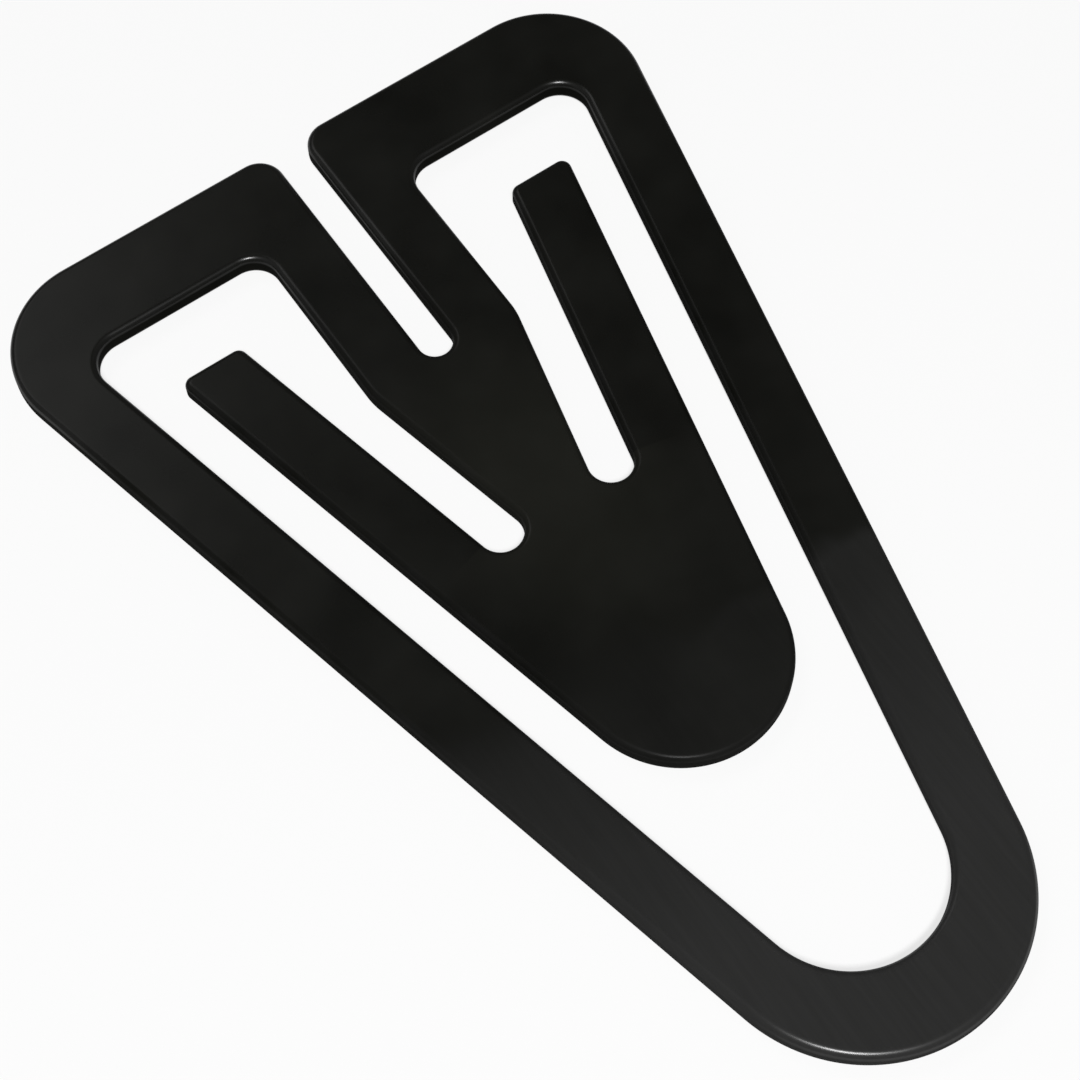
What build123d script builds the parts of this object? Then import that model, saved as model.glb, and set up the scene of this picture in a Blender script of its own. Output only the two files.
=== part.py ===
"""Letter clip: a flat sheet clip with a triangular outer loop, a round-ended tongue and two side fingers.

The clip lies flat, underside on z = 0, with the wide end towards +Y and the round nose towards -Y.
Left and right are as seen with the nose pointing at the viewer. All sizes are in millimetres.
"""

import os
from math import asin, atan2, cos, degrees, hypot, pi, sin, tan

from build123d import *

# Sheet
overall_length = 50.0
base_width = 35.0  # across the wide end, to the sharp corners of the outer edges
thickness = 1.1
edge_round = 0.3

# Outer loop
nose_radius = 7.13
nose_inner_radius = 4.33
leg_width = 3.02
crossbar_width = 4.37
shoulder_radius = 4.6
window_radius = 1.4  # inner corner of each shoulder

# Mouth slot and the return strips beside it
mouth_width = 1.6
mouth_depth = 13.4
mouth_corner_radius = 1.25
strip_width = 3.05
strip_root_radius = 1.25

# Tongue and fingers
channel_width = 2.05  # gap between the loop and the tongue
finger_width = 3.06
finger_slot_width = 2.06  # gap between a finger and the neck
finger_slot_depth = 21.9  # from the wide end to the centre of the slot's round end
finger_end_gap = 3.6  # gap between a finger's free end and the crossbar
finger_corner_radius = 0.45
neck_radius = 4.0  # where a strip's outer edge turns into the neck
tongue_tip_radius = 4.85

# Flex lines, where the sheet bends: a round knuckle turns in a round seat
root_flex_share = 0.22  # of the strip's straight length, from the crossbar
neck_flex_share = 0.72
finger_flex_share = 0.15  # of the finger's length, from its root
knuckle_radius = 0.6 * thickness
seat_clearance = 0.05

# Places along the clip
wide_end = overall_length / 2
crossbar_inner = wide_end - crossbar_width
finger_end = crossbar_inner - finger_end_gap
mouth_end = wide_end - mouth_depth
fork_y = wide_end - finger_slot_depth
strip_outer = mouth_width / 2 + strip_width
strip_length = crossbar_inner - mouth_end - mouth_width / 2
root_flex_y = crossbar_inner - root_flex_share * strip_length
neck_flex_y = crossbar_inner - neck_flex_share * strip_length
mid_height = thickness / 2

# Taper: the outer sides run from the sharp base corners to a tangent on the nose
half_base = base_width / 2
nose_drop = overall_length - nose_radius
taper = atan2(half_base, nose_drop) - asin(nose_radius / hypot(half_base, nose_drop))
sin_taper = sin(taper)
cos_taper = cos(taper)
tan_taper = tan(taper)

# Slanted edges of the right half, each as its x where it would reach the wide end
leg_outer_edge = half_base
leg_inner_edge = leg_outer_edge - leg_width / cos_taper
channel_middle = leg_inner_edge - channel_width / 2 / cos_taper
tongue_edge = leg_inner_edge - channel_width / cos_taper
finger_inner_edge = tongue_edge - finger_width / cos_taper
finger_slot_middle = finger_inner_edge - finger_slot_width / 2 / cos_taper
neck_edge = finger_inner_edge - finger_slot_width / cos_taper


def side_x(edge, y):
    """X of a slanted edge of the right half at y."""
    return edge - tan_taper * (wide_end - y)


def side_y(edge, x):
    """Y at which a slanted edge of the right half reaches x."""
    return wide_end - (edge - x) / tan_taper


def tip_center(edge, radius):
    """Y of the centre of a round tip that is tangent to both slanted sides."""
    return side_y(edge, radius / cos_taper)


def wedge(edge, top, tip_radius):
    """Face with a straight top, two slanted sides and a round tip tangent to both."""
    top_x = side_x(edge, top)
    center_y = tip_center(edge, tip_radius)
    tangent_x = tip_radius * cos_taper
    tangent_y = center_y - tip_radius * sin_taper
    with BuildSketch() as face:
        with BuildLine():
            Polyline((-tangent_x, tangent_y), (-top_x, top), (top_x, top), (tangent_x, tangent_y))
            ThreePointArc((tangent_x, tangent_y), (0, center_y - tip_radius), (-tangent_x, tangent_y))
        make_face()
    return face.sketch


def rounded_wedge(edge, top, tip_radius, corner_radius):
    """A wedge with its two top corners rounded."""
    with BuildSketch() as face:
        add(wedge(edge, top, tip_radius))
        fillet(face.vertices().group_by(Axis.Y)[-1], corner_radius)
    return face.sketch


def polygon(*points):
    """Face with straight sides through the points."""
    with BuildSketch() as face:
        with BuildLine():
            Polyline(*points, close=True)
        make_face()
    return face.sketch


def corner_pair(sketch, x, y):
    """The sketch's corner at (x, y) and its twin on the other side of the middle line."""
    corners = sketch.vertices()
    return [corners.sort_by_distance((side * x, y))[0] for side in (-1, 1)]


# The right finger in plan, from its square-cut free end down into the blade
with BuildSketch() as finger_plan:
    add(
        polygon(
            (side_x(tongue_edge, finger_end), finger_end),
            (side_x(finger_inner_edge, finger_end), finger_end),
            (side_x(finger_inner_edge, fork_y), fork_y),
            (side_x(tongue_edge, fork_y), fork_y),
        )
    )
    fillet(finger_plan.vertices().group_by(Axis.Y)[-1], finger_corner_radius)

# The slot between the right finger and the neck, round at both ends
slot_length = (finger_end - fork_y) / cos_taper
slot_middle_y = (finger_end + fork_y) / 2
with BuildSketch() as finger_slot:
    with Locations((side_x(finger_slot_middle, slot_middle_y), slot_middle_y)):
        SlotCenterToCenter(slot_length, finger_slot_width, rotation=90 - degrees(taper))

# The strips and the neck in plan, still filled across the mouth slot
neck_top = wide_end - crossbar_width / 2
neck_start = side_y(neck_edge, strip_outer)
neck_foot = side_x(neck_edge, fork_y)
with BuildSketch() as neck_plan:
    add(
        polygon(
            (-strip_outer, neck_top),
            (strip_outer, neck_top),
            (strip_outer, neck_start),
            (neck_foot, fork_y),
            (-neck_foot, fork_y),
            (-strip_outer, neck_start),
        )
    )
    fillet(corner_pair(neck_plan, strip_outer, neck_start), neck_radius)

# The whole sheet in plan
with BuildSketch() as plan:
    add(rounded_wedge(leg_outer_edge, wide_end, nose_radius, shoulder_radius))
    window = rounded_wedge(leg_inner_edge, crossbar_inner, nose_inner_radius, window_radius)
    add(window, mode=Mode.SUBTRACT)
    add(wedge(tongue_edge, fork_y + finger_slot_width / 2, tongue_tip_radius))
    add(finger_plan.sketch)
    mirror(finger_plan.sketch, about=Plane.YZ)
    add(neck_plan.sketch)
    add(finger_slot.sketch, mode=Mode.SUBTRACT)
    mirror(finger_slot.sketch, about=Plane.YZ, mode=Mode.SUBTRACT)
    with Locations((0, wide_end)):
        mouth_round_depth = mouth_depth - mouth_width / 2
        SlotCenterToCenter(2 * mouth_round_depth, mouth_width, rotation=90, mode=Mode.SUBTRACT)
    fillet(corner_pair(plan, strip_outer, crossbar_inner), strip_root_radius)
    fillet(corner_pair(plan, mouth_width / 2, wide_end), mouth_corner_radius)

# The sheet as it leaves the mould, with every edge rounded
with BuildPart() as sheet:
    add(plan.sketch)
    extrude(amount=thickness)
    fillet(sheet.faces().filter_by(Axis.Z).edges(), edge_round)

# Cuts between the members: tall prisms that start below the sheet and end above it
under = Plane.XY.offset(-thickness)
cut_height = 3 * thickness
beyond = wide_end + thickness

# Nose bow: the round end of the loop, cut square to both legs where the curves begin
bow_y = max(tip_center(leg_outer_edge, nose_radius), tip_center(leg_inner_edge, nose_inner_radius))
bow_x = overall_length * cos_taper
bow_side_y = bow_y - overall_length * sin_taper
with BuildPart() as nose_bow:
    add(sheet.part)
    with BuildSketch(under):
        add(
            polygon(
                (0, bow_y),
                (bow_x, bow_side_y),
                (bow_x, -overall_length),
                (-bow_x, -overall_length),
                (-bow_x, bow_side_y),
            )
        )
    extrude(amount=cut_height, mode=Mode.INTERSECT)

# Right leg: a straight bar, cut where the curves of the shoulder and the nose begin
# Its plane starts at the sharp base corner, with x down the leg and y outwards
half_corner = (pi / 2 - taper) / 2
window_corner_x = side_x(leg_inner_edge, crossbar_inner)
window_corner_down = (crossbar_width + leg_width * sin_taper) / cos_taper
shoulder_run = shoulder_radius / tan(half_corner)
window_run = window_radius / tan(half_corner)
leg_start = max(shoulder_run, window_corner_down + window_run)
leg_end = half_base * sin_taper + (wide_end - bow_y) * cos_taper
leg_plane = Plane((half_base, wide_end, -thickness), x_dir=(-sin_taper, -cos_taper, 0), z_dir=(0, 0, 1))
with BuildPart() as right_leg:
    add(sheet.part)
    with BuildSketch(leg_plane):
        with Locations(((leg_start + leg_end) / 2, -leg_width / 2)):
            Rectangle(leg_end - leg_start, leg_width + channel_width)
    extrude(amount=cut_height, mode=Mode.INTERSECT)

# Right shoulder: the bend between the leg and the crossbar
crossbar_cut_x = min(half_base - shoulder_run, window_corner_x - window_run)
shoulder_reach_x = half_base + channel_width


def leg_cut_y(x):
    """Y at x of the square cut across the top of the right leg."""
    return wide_end - leg_start * cos_taper - (x - half_base + leg_start * sin_taper) * tan_taper


with BuildPart() as right_shoulder:
    add(sheet.part)
    with BuildSketch(under):
        add(
            polygon(
                (crossbar_cut_x, leg_cut_y(crossbar_cut_x)),
                (crossbar_cut_x, beyond),
                (shoulder_reach_x, beyond),
                (shoulder_reach_x, leg_cut_y(shoulder_reach_x)),
            )
        )
    extrude(amount=cut_height, mode=Mode.INTERSECT)

# Right crossbar: half of the wide end, with the flared root of the return strip and its seat
crossbar_reach_y = crossbar_inner - finger_end_gap / 2
root_reach_x = strip_outer + strip_root_radius
strip_plane = Plane.YZ.offset(mouth_width / 2 + strip_width / 2)
strip_reach = (strip_width + mouth_width) / 2
with BuildPart() as right_crossbar:
    add(sheet.part)
    with BuildSketch(under):
        add(
            polygon(
                (0, root_flex_y),
                (root_reach_x, root_flex_y),
                (root_reach_x, crossbar_reach_y),
                (crossbar_cut_x, crossbar_reach_y),
                (crossbar_cut_x, beyond),
                (0, beyond),
            )
        )
    extrude(amount=cut_height, mode=Mode.INTERSECT)
    with BuildSketch(strip_plane):
        with Locations((root_flex_y, mid_height)):
            Circle(knuckle_radius + seat_clearance)
    extrude(amount=strip_reach, both=True, mode=Mode.SUBTRACT)

# Right return strip: a link with a knuckle at each end
with BuildPart() as right_return_strip:
    add(sheet.part)
    with BuildSketch(strip_plane):
        with Locations(((root_flex_y + neck_flex_y) / 2, mid_height)):
            Rectangle(root_flex_y - neck_flex_y, cut_height)
        with Locations((root_flex_y, mid_height), (neck_flex_y, mid_height)):
            Circle(knuckle_radius)
    extrude(amount=strip_reach, both=True, mode=Mode.INTERSECT)

# Neck: joins the two strips below the mouth slot and tapers to the blade
neck_flex_x = side_x(finger_slot_middle, neck_flex_y)
fork_x = side_x(finger_slot_middle, fork_y)
with BuildPart() as tongue_neck:
    add(sheet.part)
    with BuildSketch(under):
        add(
            polygon(
                (-neck_flex_x, neck_flex_y),
                (neck_flex_x, neck_flex_y),
                (fork_x, fork_y),
                (-fork_x, fork_y),
            )
        )
    extrude(amount=cut_height, mode=Mode.INTERSECT)
    with BuildSketch(Plane.YZ):
        with Locations((neck_flex_y, mid_height)):
            Circle(knuckle_radius + seat_clearance)
    extrude(amount=neck_flex_x, both=True, mode=Mode.SUBTRACT)

# Flex line of the right finger, across the finger a little above its root
# Its plane stands on edge along the finger, with x towards the free end and y up
finger_flex = finger_flex_share * slot_length
flex_start_x = fork_x + finger_flex * sin_taper
flex_start_y = fork_y + finger_flex * cos_taper
to_finger_middle = (finger_slot_width + finger_width) / 2
to_channel_middle = finger_slot_width / 2 + finger_width + channel_width / 2
finger_flex_plane = Plane(
    (
        flex_start_x + to_finger_middle * cos_taper,
        flex_start_y - to_finger_middle * sin_taper,
        mid_height,
    ),
    x_dir=(sin_taper, cos_taper, 0),
    z_dir=(cos_taper, -sin_taper, 0),
)
finger_reach = (finger_width + channel_width) / 2
with BuildPart() as finger_seat:
    with BuildSketch(finger_flex_plane):
        Circle(knuckle_radius + seat_clearance)
    extrude(amount=finger_reach, both=True)

# Blade: the round-ended flap, with the roots of both fingers and their seats
with BuildPart() as tongue_blade:
    add(sheet.part)
    with BuildSketch(under):
        add(wedge(channel_middle, fork_y, tongue_tip_radius + channel_width / 2))
        finger_root = polygon(
            (fork_x, fork_y),
            (flex_start_x, flex_start_y),
            (flex_start_x + to_channel_middle * cos_taper, flex_start_y - to_channel_middle * sin_taper),
            (side_x(channel_middle, fork_y), fork_y),
        )
        add(finger_root)
        mirror(finger_root, about=Plane.YZ)
    extrude(amount=cut_height, mode=Mode.INTERSECT)
    add(finger_seat.part, mode=Mode.SUBTRACT)
    mirror(finger_seat.part, about=Plane.YZ, mode=Mode.SUBTRACT)

# Right finger: a free bar with a knuckle at its root
with BuildPart() as right_finger:
    add(sheet.part)
    with BuildSketch(finger_flex_plane):
        with Locations((slot_length / 2, 0)):
            Rectangle(slot_length, cut_height)
        Circle(knuckle_radius)
    extrude(amount=finger_reach, both=True, mode=Mode.INTERSECT)

# The left half mirrors the right one
pieces = {"nose_bow": nose_bow, "tongue_neck": tongue_neck, "tongue_blade": tongue_blade}
right_pieces = {
    "leg": right_leg,
    "shoulder": right_shoulder,
    "crossbar": right_crossbar,
    "return_strip": right_return_strip,
    "finger": right_finger,
}
for name, right_piece in right_pieces.items():
    with BuildPart() as left_piece:
        mirror(right_piece.part, about=Plane.YZ)
    pieces["right_" + name] = right_piece
    pieces["left_" + name] = left_piece

os.makedirs("parts", exist_ok=True)
for name, piece in pieces.items():
    piece.part.label = name
    export_step(piece.part, f"parts/{name}.step")
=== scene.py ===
import math

import bmesh
import bpy
import numpy as np
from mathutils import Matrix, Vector


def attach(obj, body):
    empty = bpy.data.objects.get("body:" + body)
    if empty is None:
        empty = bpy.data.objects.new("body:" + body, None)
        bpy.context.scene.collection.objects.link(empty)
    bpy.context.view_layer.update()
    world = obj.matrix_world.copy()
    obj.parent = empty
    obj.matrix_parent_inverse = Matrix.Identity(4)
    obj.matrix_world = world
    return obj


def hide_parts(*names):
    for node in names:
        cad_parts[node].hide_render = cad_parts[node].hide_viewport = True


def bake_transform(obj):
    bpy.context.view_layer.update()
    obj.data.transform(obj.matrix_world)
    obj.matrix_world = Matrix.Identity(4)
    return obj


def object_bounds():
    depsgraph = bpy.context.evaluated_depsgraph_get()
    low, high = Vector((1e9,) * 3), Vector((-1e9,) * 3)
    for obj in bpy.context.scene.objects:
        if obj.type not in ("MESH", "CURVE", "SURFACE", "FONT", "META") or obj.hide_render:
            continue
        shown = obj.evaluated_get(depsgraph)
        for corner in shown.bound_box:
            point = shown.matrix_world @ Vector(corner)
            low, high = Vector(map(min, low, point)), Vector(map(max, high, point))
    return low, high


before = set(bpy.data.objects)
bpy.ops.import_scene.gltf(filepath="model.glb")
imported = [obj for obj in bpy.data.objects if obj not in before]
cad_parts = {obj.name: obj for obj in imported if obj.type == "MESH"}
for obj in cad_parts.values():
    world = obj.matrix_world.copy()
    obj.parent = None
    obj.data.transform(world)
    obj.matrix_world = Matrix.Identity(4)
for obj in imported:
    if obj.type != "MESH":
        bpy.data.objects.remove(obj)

cad_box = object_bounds()
scene = bpy.context.scene
scene.view_settings.view_transform = "Standard"

# Outer loop
# The triangular frame of the clip: round nose, two straight legs, two rounded shoulders and the bars of the
# wide end. It is moulded in black plastic with the rest of the clip, one sheet with every edge rounded over.
MM = 0.001  # turns the clip's own sizes, in millimetres, into metres
sheet_thickness = (cad_box[1][2] - cad_box[0][2]) / MM
wide_end = cad_box[1][1] / MM
edge_round = 0.3
nose_round = 0.42  # of the nose's outer rim
base_width = 35.0  # across the wide end, to the sharp corners of the outer edges
nose_radius = 7.13
nose_inner_radius = 4.33
leg_width = 3.02
crossbar_width = 4.37
shoulder_radius = 4.6
window_radius = 1.4  # inner corner of each shoulder
half_base = base_width / 2
crossbar_inner = wide_end - crossbar_width
nose_centre = nose_radius - wide_end
to_corner = math.hypot(half_base, wide_end - nose_centre)
taper = math.atan2(half_base, wide_end - nose_centre) - math.asin(nose_radius / to_corner)
taper_deg = math.degrees(taper)
across_leg = np.array([math.cos(taper), -math.sin(taper)])
leg_inner_edge = half_base - leg_width / across_leg[0]


def side_x(edge, y):
    """X at y of a slanted edge, given by the x at which it would reach the wide end."""
    return edge - math.tan(taper) * (wide_end - y)


def side_y(edge, x):
    """Y at which such a slanted edge reaches x."""
    return wide_end - (edge - x) / math.tan(taper)


def straight(start, end, outward, count):
    """Edge on a straight line: evenly spaced places from start to end, all facing the same way.
    Each row is x, y and the two parts of the direction that points off the material."""
    share = np.linspace(0.0, 1.0, count)[:, None]
    places = (1 - share) * np.asarray(start, float) + share * np.asarray(end, float)
    return np.hstack([places, np.tile(np.asarray(outward, float), (count, 1))])


def bend(centre, radius, degrees, hollow=False):
    """Edge on a circle: centre plus radius times the direction at each angle. A round bend faces away from
    the centre and a hollow one towards it."""
    ray = np.stack([np.cos(np.radians(degrees)), np.sin(np.radians(degrees))], axis=1)
    return np.hstack([np.asarray(centre, float) + radius * ray, -ray if hollow else ray])


def rounded(edge, radius):
    """The edge with its rounding as a fifth column, one radius for all of it or one for each place."""
    return np.column_stack([edge, np.broadcast_to(radius, len(edge))])


def inset(edge):
    """Where the flat faces stop: each place of the edge moved back by the rounding there."""
    return edge[:, :2] - edge[:, 4:] * edge[:, 2:4]


quarter_turn_places = 13


def rim(edge):
    """Rounded rim carried along an edge. Its profile leaves the top face, turns a quarter circle outwards,
    goes straight down the wall and turns a quarter circle back to the underside."""
    turn = np.linspace(0.0, np.pi / 2, quarter_turn_places)
    radius = edge[:, 4:]
    out = radius * (np.concatenate([np.sin(turn), np.cos(turn)]) - 1.0)
    top = sheet_thickness - radius * (1.0 - np.cos(turn))
    under = radius * (1.0 - np.sin(turn))
    plan = edge[:, None, :2] + out[:, :, None] * edge[:, None, 2:4]
    return np.dstack([plan, np.hstack([top, under])])


# Shares of the way across a flat, closer together beside the rims
across = np.array([0.0, 0.02, 0.06, 0.14, 0.26, 0.42, 0.58, 0.74, 0.86, 0.94, 0.98, 1.0])


def flats(first, second):
    """Top face and underside, ruled straight across from each place of one line to the same place of
    another."""
    plan = first[:, None, :] + across[None, :, None] * (second - first)[:, None, :]
    level = np.ones(plan.shape[:2])
    return [np.dstack([plan, level * sheet_thickness]), np.dstack([plan, level * 0.0])]


def cut_end(flat_pair, first_rim, second_rim, row):
    """Outline of a cut across the sheet: over the top, down one rim, back along the underside and up the
    other rim."""
    top, under = flat_pair
    down, up = second_rim[row], first_rim[row][::-1]
    return np.vstack([top[row], down[1:-1], under[row][::-1], up[1:-1]])


merge_distance = 1e-6
crease_degrees = 50.0


def moulded(name, grids, ends, material):
    """One closed piece from its grids and its cut ends. Neighbouring places of a grid make four-sided faces
    and places that coincide are merged. The attribute rim is the depth below the nearer flat face, counted
    in edge roundings."""
    places, faces, start = [], [], 0
    for grid in grids:
        rows, columns = grid.shape[:2]
        index = start + np.arange(rows * columns).reshape(rows, columns)
        quads = np.stack([index[:-1, :-1], index[1:, :-1], index[1:, 1:], index[:-1, 1:]], axis=-1)
        places.append(grid.reshape(-1, 3))
        faces += quads.reshape(-1, 4).tolist()
        start += rows * columns
    for end in ends:
        places.append(end)
        faces.append(list(range(start, start + len(end))))
        start += len(end)
    mesh = bpy.data.meshes.new(name)
    mesh.from_pydata((np.vstack(places) * MM).tolist(), [], faces)
    shell = bmesh.new()
    shell.from_mesh(mesh)
    bmesh.ops.remove_doubles(shell, verts=shell.verts, dist=merge_distance)
    bmesh.ops.recalc_face_normals(shell, faces=shell.faces)
    shell.to_mesh(mesh)
    shell.free()
    mesh.shade_smooth()
    mesh.set_sharp_from_angle(angle=math.radians(crease_degrees))
    height = np.zeros(len(mesh.vertices) * 3)
    mesh.vertices.foreach_get("co", height)
    height = height[2::3] / MM
    depth = np.minimum(height, sheet_thickness - height) / edge_round
    mesh.attributes.new("rim", "FLOAT", "POINT").data.foreach_set("value", depth.astype(np.float32))
    mesh.materials.append(material)
    piece = bpy.data.objects.new(name, mesh)
    scene.collection.objects.link(piece)
    return piece


def feed(tree, slot, term):
    """Give a node's input its value: another node's output is linked, a plain number or colour is set."""
    if isinstance(term, bpy.types.NodeSocket):
        tree.links.new(term, slot)
    else:
        slot.default_value = term


def reckon(tree, operation, *terms):
    """Output of one arithmetic operation on its terms, each an output of another node or a number."""
    node = tree.nodes.new("ShaderNodeMath")
    node.operation = operation
    for slot, term in zip(node.inputs, terms):
        feed(tree, slot, term)
    return node.outputs["Value"]


def ramp(tree, value, start, end, low=0.0, high=1.0, smooth=False):
    """Output that goes from low to high while value goes from start to end, evenly or in an S curve."""
    node = tree.nodes.new("ShaderNodeMapRange")
    node.interpolation_type = "SMOOTHSTEP" if smooth else "LINEAR"
    feed(tree, node.inputs["Value"], value)
    feed(tree, node.inputs["From Min"], start)
    feed(tree, node.inputs["From Max"], end)
    feed(tree, node.inputs["To Min"], low)
    feed(tree, node.inputs["To Max"], high)
    return node.outputs["Result"]


def noise(tree, place, clouds_per_unit, detail=2.0, roughness=0.5):
    """Output of a cloudy noise around one half: so many clouds per unit of place, with finer ones on them."""
    node = tree.nodes.new("ShaderNodeTexNoise")
    feed(tree, node.inputs["Vector"], place)
    feed(tree, node.inputs["Scale"], clouds_per_unit)
    feed(tree, node.inputs["Detail"], detail)
    feed(tree, node.inputs["Roughness"], roughness)
    return node.outputs["Fac"]


def tinted(tree, share, first, second):
    """Colour that goes from first to second while share goes from 0 to 1."""
    node = tree.nodes.new("ShaderNodeMix")
    node.data_type = "RGBA"
    feed(tree, node.inputs["Factor"], share)
    feed(tree, node.inputs["A"], first)
    feed(tree, node.inputs["B"], second)
    return node.outputs["Result"]


def group_socket(group, name, kind, way, value=None):
    """Named input or output of a node group."""
    socket = group.interface.new_socket(name=name, in_out=way, socket_type=kind)
    if value is not None:
        socket.default_value = value


# Mould grain: a fine spark-eroded pitting over a faint, slow unevenness of the moulded skin
pits_per_metre = 7000.0
swells_per_metre = 260.0
pit_share = 0.5
mottle_range = (0.3, 0.7)
mould_grain = bpy.data.node_groups.new("mould_grain", "ShaderNodeTree")
group_socket(mould_grain, "Place", "NodeSocketVector", "INPUT")
group_socket(mould_grain, "Pits per metre", "NodeSocketFloat", "INPUT", pits_per_metre)
group_socket(mould_grain, "Height", "NodeSocketFloat", "OUTPUT")
group_socket(mould_grain, "Mottle", "NodeSocketFloat", "OUTPUT")
grain_in = mould_grain.nodes.new("NodeGroupInput").outputs
grain_out = mould_grain.nodes.new("NodeGroupOutput").inputs
pits = noise(mould_grain, grain_in["Place"], grain_in["Pits per metre"], detail=3.0, roughness=0.6)
swell = noise(mould_grain, grain_in["Place"], swells_per_metre)
feed(mould_grain, grain_out["Height"], reckon(mould_grain, "MULTIPLY_ADD", pits, pit_share, swell))
feed(mould_grain, grain_out["Mottle"], ramp(mould_grain, swell, *mottle_range))

# Handled edge: masks for the flat faces, the crest of a rounding, the patches that handling has worn on
# it, and the wall below. They follow the depth below the flat face, counted in edge roundings.
crest_start = 0.06  # depth at which the flat face has given way to the crest
wall_range = (0.5, 1.0)  # depths between which the crest gives way to the wall
patches_per_metre = 420.0
patch_range = (0.35, 0.75)
handled_edge = bpy.data.node_groups.new("handled_edge", "ShaderNodeTree")
group_socket(handled_edge, "Place", "NodeSocketVector", "INPUT")
group_socket(handled_edge, "Flat", "NodeSocketFloat", "OUTPUT")
group_socket(handled_edge, "Crest", "NodeSocketFloat", "OUTPUT")
group_socket(handled_edge, "Polish", "NodeSocketFloat", "OUTPUT")
group_socket(handled_edge, "Wall", "NodeSocketFloat", "OUTPUT")
edge_in = handled_edge.nodes.new("NodeGroupInput").outputs
edge_out = handled_edge.nodes.new("NodeGroupOutput").inputs
edge_depth = handled_edge.nodes.new("ShaderNodeAttribute")
edge_depth.attribute_name = "rim"
off_flat = ramp(handled_edge, edge_depth.outputs["Fac"], 0.0, crest_start)
on_wall = ramp(handled_edge, edge_depth.outputs["Fac"], *wall_range)
on_crest = reckon(handled_edge, "SUBTRACT", off_flat, on_wall)
patches = noise(handled_edge, edge_in["Place"], patches_per_metre, detail=4.0)
worn_share = ramp(handled_edge, patches, *patch_range)
feed(handled_edge, edge_out["Flat"], reckon(handled_edge, "SUBTRACT", 1.0, off_flat))
feed(handled_edge, edge_out["Crest"], on_crest)
feed(handled_edge, edge_out["Polish"], reckon(handled_edge, "MULTIPLY", on_crest, worn_share))
feed(handled_edge, edge_out["Wall"], on_wall)

# Painted light: the skin is painted lighter from the rub line to the nose, as if a pool of light lay on the
# nose with its edge across the legs, in faint lengthwise streaks
painted_light_edge = -5.2  # y of the middle of the step
painted_edge_sway = 2.0
painted_edge_fade_left = 2.6  # half the length of the step's fade
painted_edge_fade_right = 0.75
painted_edge_side_change = 1.0  # x at which the left fade has become the right one
painted_light_step = 0.42
painted_light_rise = 0.46
painted_light_rise_start = -7.2
painted_light_rise_end = -17.2
streaks_per_metre = (6000.0, 240.0, 6000.0)
streak_range = (0.3, 0.7)
streak_depth = 0.08


def painted_nose_light(tree, place, parts, mottle, painted_light_share):
    """Share of painted light: a step at the rub line, soft on the left, sharp on the right and made ragged by
    the mottling, plus a slow rise towards the nose that paints it as more brightly lit, both times streaks
    from a noise that is drawn out in y."""
    ragged = reckon(tree, "MULTIPLY_ADD", mottle, painted_edge_sway * MM, parts["Y"])
    past_line = reckon(tree, "SUBTRACT", (painted_light_edge + painted_edge_sway / 2) * MM, ragged)
    steep_left = 1.0 / (painted_edge_fade_left * MM)
    steep_right = 1.0 / (painted_edge_fade_right * MM)
    side = painted_edge_side_change * MM
    steepness = ramp(tree, parts["X"], -side, side, steep_left, steep_right)
    fades_past = reckon(tree, "MULTIPLY", past_line, steepness)
    step = ramp(tree, fades_past, -1.0, 1.0, 0.0, painted_light_step, smooth=True)
    rise = ramp(tree, parts["Y"], painted_light_rise_start * MM, painted_light_rise_end * MM, 0.0, painted_light_rise)
    drawn_out = tree.nodes.new("ShaderNodeMapping")
    feed(tree, drawn_out.inputs["Vector"], place)
    feed(tree, drawn_out.inputs["Scale"], streaks_per_metre)
    streaks = noise(tree, drawn_out.outputs["Vector"], 1.0)
    faintest = (1.0 - streak_depth) * painted_light_share
    strongest = (1.0 + streak_depth) * painted_light_share
    streak_share = ramp(tree, streaks, *streak_range, faintest, strongest)
    return reckon(tree, "MULTIPLY", reckon(tree, "ADD", step, rise), streak_share)


# Satin plastic: the gloss is that of a thin skin, satin on the flats, polished by handling on the crests at
# both ends of the clip, and nearly gone on the walls
plastic_black = (0.0032, 0.0033, 0.0025, 1.0)
plastic_uneven = (0.0073, 0.0074, 0.0062, 1.0)
plastic_worn = (0.0086, 0.0086, 0.0082, 1.0)
# painted light: the lighter colour of the nose end, standing in for the light that falls there
plastic_painted_light = (0.0264, 0.0264, 0.0260, 1.0)
plastic_specular = 0.015
flat_roughness = 0.36
crest_roughness = 0.45
wall_roughness = 0.85
shine_roughness = 0.25
flat_shine = 0.4
edge_shine = 0.055
wide_end_shine = 0.6
wide_end_shine_from = 14.0
wide_end_shine_full = 19.0
nose_shine = 0.6
nose_shine_from = -19.5
nose_shine_full = -22.5
grain_strength = 0.3
grain_depth = 0.02


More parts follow.
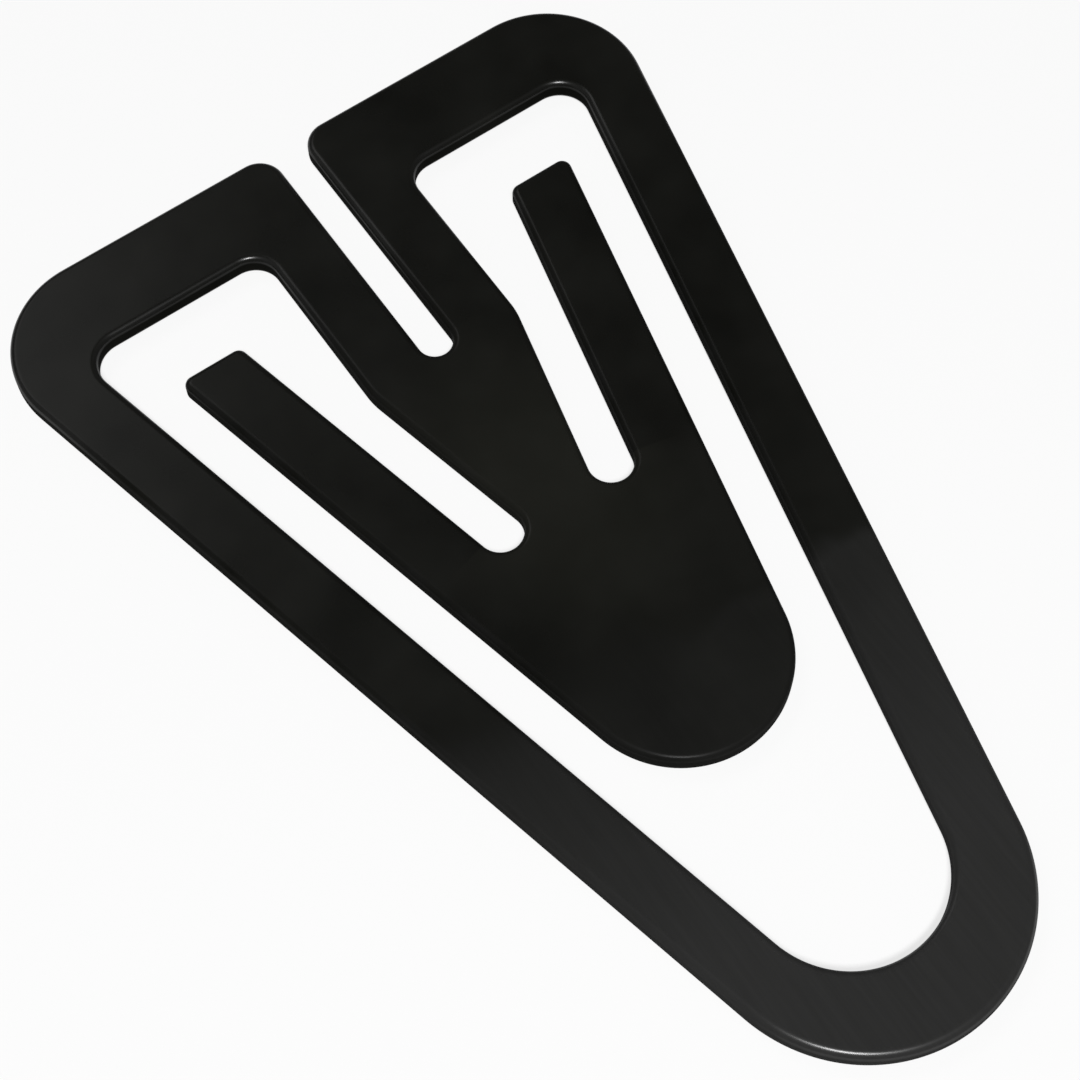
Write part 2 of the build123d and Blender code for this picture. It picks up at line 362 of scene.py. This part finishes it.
def satin_plastic(name, painted_light_share):
    """Black moulded plastic with a grain bump, faint mottling, worn crests and matt walls. The last argument
    tells how much of the painted light towards the nose it shows."""
    material = bpy.data.materials.new(name)
    material.use_nodes = True
    tree = material.node_tree
    shader = tree.nodes["Principled BSDF"].inputs
    place = tree.nodes.new("ShaderNodeTexCoord").outputs["Object"]
    grain = tree.nodes.new("ShaderNodeGroup")
    grain.node_tree = mould_grain
    feed(tree, grain.inputs["Place"], place)
    edge = tree.nodes.new("ShaderNodeGroup")
    edge.node_tree = handled_edge
    feed(tree, edge.inputs["Place"], place)
    split = tree.nodes.new("ShaderNodeSeparateXYZ")
    feed(tree, split.inputs["Vector"], place)
    parts = split.outputs
    mottle = grain.outputs["Mottle"]
    masks = edge.outputs

    skin = tinted(tree, mottle, plastic_black, plastic_uneven)
    skin = tinted(tree, masks["Polish"], skin, plastic_worn)
    # painted light: the nose end is painted lighter, as if more brightly lit
    if painted_light_share:
        painted_share = painted_nose_light(tree, place, parts, mottle, painted_light_share)
        skin = tinted(tree, painted_share, skin, plastic_painted_light)
    feed(tree, shader["Base Color"], skin)

    above_wall = ramp(tree, masks["Crest"], 0.0, 1.0, flat_roughness, crest_roughness)
    feed(tree, shader["Roughness"], ramp(tree, masks["Wall"], 0.0, 1.0, above_wall, wall_roughness))
    feed(tree, shader["Specular IOR Level"], plastic_specular)

    back_from, back_full = wide_end_shine_from * MM, wide_end_shine_full * MM
    back_shine = ramp(tree, parts["Y"], back_from, back_full, edge_shine, wide_end_shine, smooth=True)
    front_from, front_full = nose_shine_from * MM, nose_shine_full * MM
    front_shine = ramp(tree, parts["Y"], front_from, front_full, 0.0, nose_shine - edge_shine, smooth=True)
    shine = reckon(tree, "ADD", back_shine, front_shine)
    crest_shine = reckon(tree, "MULTIPLY", shine, masks["Crest"])
    feed(tree, shader["Coat Weight"], reckon(tree, "MULTIPLY_ADD", masks["Flat"], flat_shine, crest_shine))
    feed(tree, shader["Coat Roughness"], shine_roughness)

    relief = tree.nodes.new("ShaderNodeBump")
    feed(tree, relief.inputs["Strength"], grain_strength)
    feed(tree, relief.inputs["Distance"], grain_depth * MM)
    feed(tree, relief.inputs["Height"], grain.outputs["Height"])
    feed(tree, shader["Normal"], relief.outputs["Normal"])
    return material


# the loop shows the full painted light at its nose
loop_plastic = satin_plastic("painted_light_black_plastic", painted_light_share=1.0)

# The loop runs from the seam in one crossbar round the nose to the seam in the other
mouth_width = 1.6
strip_width = 3.05
strip_outer = mouth_width / 2 + strip_width
strip_root_radius = 1.25
crossbar_seam = strip_outer + strip_root_radius
bend_places = 41
leg_places = 31
bar_places = 13
nose_inner_centre = side_y(leg_inner_edge, nose_inner_radius / across_leg[0])
shoulder_y = wide_end - shoulder_radius
shoulder_centre = (side_x(half_base, shoulder_y) - shoulder_radius / across_leg[0], shoulder_y)
window_y = crossbar_inner - window_radius
window_centre = (side_x(leg_inner_edge, window_y) - window_radius / across_leg[0], window_y)
nose_angles = np.linspace(-90.0, -taper_deg, bend_places)
shoulder_angles = np.linspace(-taper_deg, 90.0, bend_places)
nose_out = bend((0.0, nose_centre), nose_radius, nose_angles)
nose_in = bend((0.0, nose_inner_centre), nose_inner_radius, nose_angles, hollow=True)
shoulder_out = bend(shoulder_centre, shoulder_radius, shoulder_angles)
shoulder_in = bend(window_centre, window_radius, shoulder_angles, hollow=True)
right_out = np.vstack(
    [
        nose_out,
        straight(nose_out[-1, :2], shoulder_out[0, :2], across_leg, leg_places)[1:-1],
        shoulder_out,
        straight(shoulder_out[-1, :2], (crossbar_seam, wide_end), (0.0, 1.0), bar_places)[1:],
    ]
)
right_in = np.vstack(
    [
        nose_in,
        straight(nose_in[-1, :2], shoulder_in[0, :2], -across_leg, leg_places)[1:-1],
        shoulder_in,
        straight(shoulder_in[-1, :2], (crossbar_seam, crossbar_inner), (0.0, -1.0), bar_places)[1:],
    ]
)
to_left = np.array([-1.0, 1.0, -1.0, 1.0])
loop_out = np.vstack([(right_out * to_left)[::-1], right_out[1:]])
loop_in = np.vstack([(right_in * to_left)[::-1], right_in[1:]])
nose_end = nose_out[-1, 1]
loop_out = rounded(loop_out, np.interp(loop_out[:, 1], [nose_end, painted_light_edge], [nose_round, edge_round]))
loop_in = rounded(loop_in, edge_round)
loop_flats = flats(inset(loop_out), inset(loop_in))
loop_rims = [rim(loop_out), rim(loop_in)]
loop_ends = [cut_end(loop_flats, *loop_rims, row) for row in (0, -1)]
outer_loop = moulded("outer_loop", loop_flats + loop_rims, loop_ends, loop_plastic)
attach(outer_loop, "loop")
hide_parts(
    "nose_bow",
    "left_leg",
    "right_leg",
    "left_shoulder",
    "right_shoulder",
    "left_crossbar",
    "right_crossbar",
)

# Return strips
# The two springy strips beside the mouth slot, unbroken with the bars and the tongue. Each turns out of its
# crossbar at a rounded corner, runs back towards the nose and bends along its length when the clip opens.
mouth_depth = 13.4
mouth_corner_radius = 1.25
root_share = 0.44  # of the strip's straight length, from the crossbar
root_places = 17
root_bend_places = 3 * root_places - 2
foot_places = 33
sheet_plastic = satin_plastic("satin_black_plastic", painted_light_share=0.0)
mouth_half = mouth_width / 2
mouth_round_y = wide_end - mouth_depth + mouth_half
strip_length = crossbar_inner - mouth_round_y
strip_middle = crossbar_inner - root_share * strip_length
root_end = crossbar_inner - strip_root_radius
corner_y = wide_end - mouth_corner_radius
corner_x = mouth_half + mouth_corner_radius


def to_side(grids, sign):
    """The grids on the right of the middle line for a sign of 1, and mirrored in x to the left for -1."""
    return [grid * np.array([sign, 1.0, 1.0]) for grid in grids]


root_out = np.vstack(
    [
        straight((crossbar_seam, wide_end), (corner_x, wide_end), (0.0, 1.0), root_places)[:-1],
        bend((corner_x, corner_y), mouth_corner_radius, np.linspace(90.0, 180.0, root_places)),
        straight((mouth_half, corner_y), (mouth_half, root_end), (-1.0, 0.0), root_places)[1:],
        straight((mouth_half, root_end), (mouth_half, strip_middle), (-1.0, 0.0), root_places)[1:],
    ]
)
root_angles = np.linspace(90.0, 180.0, root_bend_places)
root_in = np.vstack(
    [
        bend((crossbar_seam, root_end), strip_root_radius, root_angles, hollow=True),
        straight((strip_outer, root_end), (strip_outer, strip_middle), (1.0, 0.0), root_places)[1:],
    ]
)
root_out = rounded(root_out, edge_round)
root_in = rounded(root_in, edge_round)
root_flats = flats(inset(root_out), inset(root_in))
root_rims = [rim(root_out), rim(root_in)]
root_ends = [cut_end(root_flats, *root_rims, row) for row in (0, -1)]
foot_out = straight((mouth_half, strip_middle), (mouth_half, mouth_round_y), (-1.0, 0.0), foot_places)
foot_in = straight((strip_outer, strip_middle), (strip_outer, mouth_round_y), (1.0, 0.0), foot_places)
foot_out = rounded(foot_out, edge_round)
foot_in = rounded(foot_in, edge_round)
foot_flats = flats(inset(foot_out), inset(foot_in))
foot_rims = [rim(foot_out), rim(foot_in)]
foot_ends = [cut_end(foot_flats, *foot_rims, row) for row in (0, -1)]
for side, sign in (("right", 1.0), ("left", -1.0)):
    strip_root = moulded(
        side + "_strip_root",
        to_side(root_flats + root_rims, sign),
        to_side(root_ends, sign),
        sheet_plastic,
    )
    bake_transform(strip_root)
    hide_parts(side + "_return_strip")
    strip_foot = moulded(
        side + "_strip_foot",
        to_side(foot_flats + foot_rims, sign),
        to_side(foot_ends, sign),
        sheet_plastic,
    )
    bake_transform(strip_foot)
    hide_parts(side + "_return_strip")

# Tongue
# The round-ended flap on the other side of the paper, moulded in one with the strips. Its neck joins them
# below the mouth slot and widens, past the ends of the finger slots, into the blade. Its skin carries
# painted light: part of the lighter tone painted towards the nose, and a painted reflection in a patch on its
# middle.
channel_width = 2.05  # gap between the loop and the tongue
finger_width = 3.06
finger_slot_width = 2.06  # gap between a finger and the neck
finger_slot_depth = 21.9  # from the wide end to the centre of the slot's round end
neck_radius = 4.0  # where a strip's outer edge turns into the neck
tip_radius = 4.85
# share of the nose's painted light that the tongue shows
tongue_painted_light_share = 0.35
sheen_middle = 4.0  # y of the middle of the painted patch
sheen_half_width = 7.0
sheen_half_length = 10.0
sheen_fade = 0.7  # share of the way from the patch's rim to its middle that it fades over
sheen_share = 0.2
# painted reflection: the lighter colour of the patch on the tongue
plastic_painted_sheen = (0.0264, 0.0268, 0.0205, 1.0)


def painted_tongue_sheen(material):
    """Painted reflection: a lighter patch painted on the tongue where it would catch more light, an ellipse
    on the middle line, even in its inner part and fading smoothly to nothing at its rim."""
    tree = material.node_tree
    skin = tree.nodes["Principled BSDF"].inputs["Base Color"]
    ellipse = tree.nodes.new("ShaderNodeMapping")
    ellipse.vector_type = "TEXTURE"
    feed(tree, ellipse.inputs["Vector"], tree.nodes.new("ShaderNodeTexCoord").outputs["Object"])
    feed(tree, ellipse.inputs["Location"], (0.0, sheen_middle * MM, 0.0))
    feed(tree, ellipse.inputs["Scale"], (sheen_half_width * MM, sheen_half_length * MM, 1.0))
    nearness = tree.nodes.new("ShaderNodeTexGradient")
    nearness.gradient_type = "SPHERICAL"
    feed(tree, nearness.inputs["Vector"], ellipse.outputs["Vector"])
    share = ramp(tree, nearness.outputs["Fac"], 0.0, sheen_fade, 0.0, sheen_share, smooth=True)
    feed(tree, skin, tinted(tree, share, skin.links[0].from_socket, plastic_painted_sheen))


# the tongue shows part of the painted light towards the nose, and the painted patch
tongue_plastic = satin_plastic("tongue_black_plastic", tongue_painted_light_share)
painted_tongue_sheen(tongue_plastic)

tip_places = 41
blade_side_places = 25
middle_places = 33
neck_places = 25
mouth_places = 15
neck_lead_places = 4
neck_bend_places = mouth_places - neck_lead_places + 1
finger_slot_half = finger_slot_width / 2
fork_y = wide_end - finger_slot_depth
tongue_edge = leg_inner_edge - channel_width / across_leg[0]
finger_inner_edge = tongue_edge - finger_width / across_leg[0]
neck_edge = finger_inner_edge - 2 * finger_slot_half / across_leg[0]
fork = np.array([side_x(finger_inner_edge - finger_slot_half / across_leg[0], fork_y), fork_y])
finger_seam_out = fork + (finger_slot_half + finger_width) * across_leg
tip_centre = side_y(tongue_edge, tip_radius / across_leg[0])
tip_bend = bend((0.0, tip_centre), tip_radius, np.linspace(-90.0, -taper_deg, tip_places))
blade_side = straight(tip_bend[-1, :2], finger_seam_out, across_leg, blade_side_places)[1:]
blade_out = rounded(np.vstack([tip_bend, blade_side]), edge_round)
mouth_round = bend((0.0, mouth_round_y), mouth_half, np.linspace(0.0, -90.0, mouth_places), hollow=True)
mouth_round = rounded(mouth_round, edge_round)


def rays_from_fork(places):
    """Angle of each place as seen from the centre of the finger slot's round end, from 0 to 360 degrees."""
    away = places - fork
    return np.degrees(np.arctan2(away[:, 1], away[:, 0])) % 360.0


# Down the middle line the rays are evenly turned, and meet it at the fork's y less its x times their tangent
tip_flat = inset(blade_out)[:1]
middle_rays = np.linspace(180.0 - taper_deg, rays_from_fork(tip_flat)[0], middle_places)
middle_y = fork[1] - fork[0] * np.tan(np.radians(middle_rays))
middle_low = np.stack([np.zeros(middle_places), middle_y], axis=1)
middle_top = np.array([[0.0, mouth_round_y - mouth_half - edge_round]])
middle_share = np.linspace(0.0, 1.0, neck_places)[:, None]
middle_high = (1 - middle_share) * middle_top + middle_share * middle_low[:1]
slot_end_rays = np.concatenate([middle_rays, rays_from_fork(inset(blade_out))[1:]])
slot_end = bend(fork, finger_slot_half, slot_end_rays, hollow=True)
neck_start = side_y(neck_edge, strip_outer)
neck_bend_y = neck_start + neck_radius * math.tan(taper / 2)
neck_angles = np.linspace(0.0, -taper_deg, neck_bend_places)
neck_bend = bend((strip_outer - neck_radius, neck_bend_y), neck_radius, neck_angles)
neck_out = np.vstack(
    [
        straight((strip_outer, mouth_round_y), neck_bend[0, :2], (1.0, 0.0), neck_lead_places)[:-1],
        neck_bend,
        straight(neck_bend[-1, :2], slot_end[0, :2], across_leg, neck_places)[1:-1],
        slot_end,
    ]
)
neck_out = rounded(neck_out, edge_round)
neck_in = np.vstack([inset(mouth_round), middle_high[1:-1], middle_low, inset(blade_out)[1:]])
tongue_flats = flats(inset(neck_out), neck_in)
neck_rim, mouth_rim, blade_rim = rim(neck_out), rim(mouth_round), rim(blade_out)
tongue_half = tongue_flats + [neck_rim, mouth_rim, blade_rim]
tongue_ends = [
    cut_end(tongue_flats, neck_rim, mouth_rim, 0),
    cut_end(tongue_flats, neck_rim, blade_rim, -1),
]
tongue = moulded(
    "tongue",
    tongue_half + to_side(tongue_half, -1.0),
    tongue_ends + to_side(tongue_ends, -1.0),
    tongue_plastic,
)
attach(tongue, "tongue")
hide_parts("tongue_neck", "tongue_blade")

# Fingers
# The two narrow side bars of the tongue, free at the wide end and cut square there with softened corners.
# They are part of the same moulding and bend a little above their roots when paper pushes between them and
# the loop.
finger_end_gap = 3.6  # gap between a finger's free end and the crossbar
finger_corner = 0.45
finger_side_places = 61
finger_corner_places = 13
finger_end = crossbar_inner - finger_end_gap
along_leg = np.array([math.sin(taper), math.cos(taper)])


def finger_corner_bend(off, first_degrees):
    """Corner of the free end, from the finger's side round to its end. The centre lies off millimetres across
    from the slot's middle, and along the finger to one corner radius below the end."""
    start = fork + off * across_leg
    centre = start + (finger_end - finger_corner - start[1]) / along_leg[1] * along_leg
    return bend(centre, finger_corner, np.linspace(first_degrees, 90.0, finger_corner_places))


inner_corner = finger_corner_bend(finger_slot_half + finger_corner, 180.0 - taper_deg)
outer_corner = finger_corner_bend(finger_slot_half + finger_width - finger_corner, -taper_deg)
finger_seam_in = fork + finger_slot_half * across_leg
inner_side = straight(finger_seam_in, inner_corner[0, :2], -across_leg, finger_side_places)[:-1]
outer_side = straight(finger_seam_out, outer_corner[0, :2], across_leg, finger_side_places)[:-1]
finger_in = np.vstack([inner_side, inner_corner])
finger_out = np.vstack([outer_side, outer_corner])
end_share = across[1:-1, None]
end_places = (1 - end_share) * finger_in[-1:, :2] + end_share * finger_out[-1:, :2]
finger_end_edge = np.hstack([end_places, np.tile([0.0, 1.0], (len(end_places), 1))])
finger_edge = rounded(np.vstack([finger_in, finger_end_edge, finger_out[::-1]]), edge_round)
finger_rows = len(finger_in)
finger_flats = flats(inset(finger_edge[:finger_rows]), inset(finger_edge[::-1][:finger_rows]))
finger_rim = rim(finger_edge)
finger_root = cut_end(finger_flats, finger_rim, finger_rim[::-1], 0)
for side, sign in (("right", 1.0), ("left", -1.0)):
    finger = moulded(
        side + "_side_finger",
        to_side(finger_flats + [finger_rim], sign),
        to_side([finger_root], sign),
        sheet_plastic,
    )
    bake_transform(finger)
    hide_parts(side + "_finger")

# Table and light
# A plain white table top under three soft studio boxes: a strong key box beside the viewer, a large weak
# one at the left and one behind the left shoulder. Table and room look white to the eye, and the table
# still takes the clip's shadow. Sizes and places here are in metres.
table_half = 1.5
table_drop = 0.00003  # keeps the table clear of the clip's underside
table_tone = 0.9
table_seen_white = 0.75
room_tone = 0.05
room_seen_white = 0.96
room_mirrored_white = 0.06


def seen_share(tree, eye_share, mirrored_share):
    """Share of plain white: the eye's share on the camera's own rays, plus the mirrored share on rays that
    come by way of a glossy or a clear surface."""
    rays = tree.nodes.new("ShaderNodeLightPath").outputs
    mirrored = reckon(tree, "MAXIMUM", rays["Is Glossy Ray"], rays["Is Transmission Ray"])
    mirrored = reckon(tree, "MULTIPLY", mirrored, mirrored_share)
    return reckon(tree, "MULTIPLY_ADD", rays["Is Camera Ray"], eye_share, mirrored)


table_corners = [
    (-table_half, -table_half, -table_drop),
    (table_half, -table_half, -table_drop),
    (table_half, table_half, -table_drop),
    (-table_half, table_half, -table_drop),
]
table_mesh = bpy.data.meshes.new("table_top")
table_mesh.from_pydata(table_corners, [], [(0, 1, 2, 3)])
table = bpy.data.objects.new("table_top", table_mesh)
scene.collection.objects.link(table)
table_white = bpy.data.materials.new("table_white")
table_white.use_nodes = True
table_tree = table_white.node_tree
table_tree.nodes.remove(table_tree.nodes["Principled BSDF"])
table_paint = table_tree.nodes.new("ShaderNodeBsdfDiffuse")
feed(table_tree, table_paint.inputs["Color"], (table_tone, table_tone, table_tone, 1.0))
table_glow = table_tree.nodes.new("ShaderNodeEmission")
table_mix = table_tree.nodes.new("ShaderNodeMixShader")
feed(table_tree, table_mix.inputs["Fac"], seen_share(table_tree, table_seen_white, table_seen_white))
feed(table_tree, table_mix.inputs[1], table_paint.outputs["BSDF"])
feed(table_tree, table_mix.inputs[2], table_glow.outputs["Emission"])
feed(table_tree, table_tree.nodes["Material Output"].inputs["Surface"], table_mix.outputs["Shader"])
table_mesh.materials.append(table_white)

room = bpy.data.worlds.new("room")
room.use_nodes = True
room_tree = room.node_tree
room_light = room_tree.nodes["Background"]
feed(room_tree, room_light.inputs["Color"], (room_tone, room_tone, room_tone, 1.0))
room_glow = room_tree.nodes.new("ShaderNodeBackground")
feed(room_tree, room_glow.inputs["Color"], (1.0, 1.0, 1.0, 1.0))
room_mix = room_tree.nodes.new("ShaderNodeMixShader")
feed(room_tree, room_mix.inputs["Fac"], seen_share(room_tree, room_seen_white, room_mirrored_white))
feed(room_tree, room_mix.inputs[1], room_light.outputs["Background"])
feed(room_tree, room_mix.inputs[2], room_glow.outputs["Background"])
feed(room_tree, room_tree.nodes["World Output"].inputs["Surface"], room_mix.outputs["Shader"])
scene.world = room


def soft_box(name, place, aim, width, height, radiance):
    """Rectangular studio light at place, facing aim, in metres. Its power is radiance times pi times its
    area."""
    lamp = bpy.data.lights.new(name, "AREA")
    lamp.shape = "RECTANGLE"
    lamp.size = width
    lamp.size_y = height
    lamp.energy = radiance * math.pi * width * height
    box = bpy.data.objects.new(name, lamp)
    box.location = place
    box.rotation_euler = (Vector(aim) - Vector(place)).to_track_quat("-Z", "Y").to_euler()
    scene.collection.objects.link(box)


soft_box(
    "key_box",
    place=(-0.110, -0.205, 0.445),
    aim=(0.0, 0.0, 0.0),
    width=0.10,
    height=0.10,
    radiance=75.0,
)
soft_box(
    "left_box",
    place=(-0.420, 0.110, 0.290),
    aim=(0.0, 0.0, 0.0),
    width=0.60,
    height=0.50,
    radiance=0.17,
)
soft_box(
    "back_left_box",
    place=(-0.050, 0.230, 0.300),
    aim=(-0.02, 0.02, 0.0),
    width=0.18,
    height=0.14,
    radiance=1.4,
)

# Viewpoint
# The clip lies on its flat side, seen steeply from above, a little left of the nose.
# The lens and the distance, in metres, come from fitting the clip's straight edges in perspective.
view_turn = math.radians(-34.968)
view_height = math.radians(64.86)
view_distance = 0.10115
view_centre = Vector((-0.001531, 0.00210, 0.0))
view_back = Vector(
    (
        math.sin(view_turn) * math.cos(view_height),
        -math.cos(view_turn) * math.cos(view_height),
        math.sin(view_height),
    )
)
camera_data = bpy.data.cameras.new("viewpoint")
camera_data.sensor_width = 36.0
camera_data.lens = 78.62
camera_data.clip_start = 0.002
camera_data.clip_end = 20.0
camera = bpy.data.objects.new("viewpoint", camera_data)
camera.location = view_centre + view_back * view_distance
camera.rotation_euler = (-view_back).to_track_quat("-Z", "Y").to_euler()
scene.collection.objects.link(camera)
scene.camera = camera
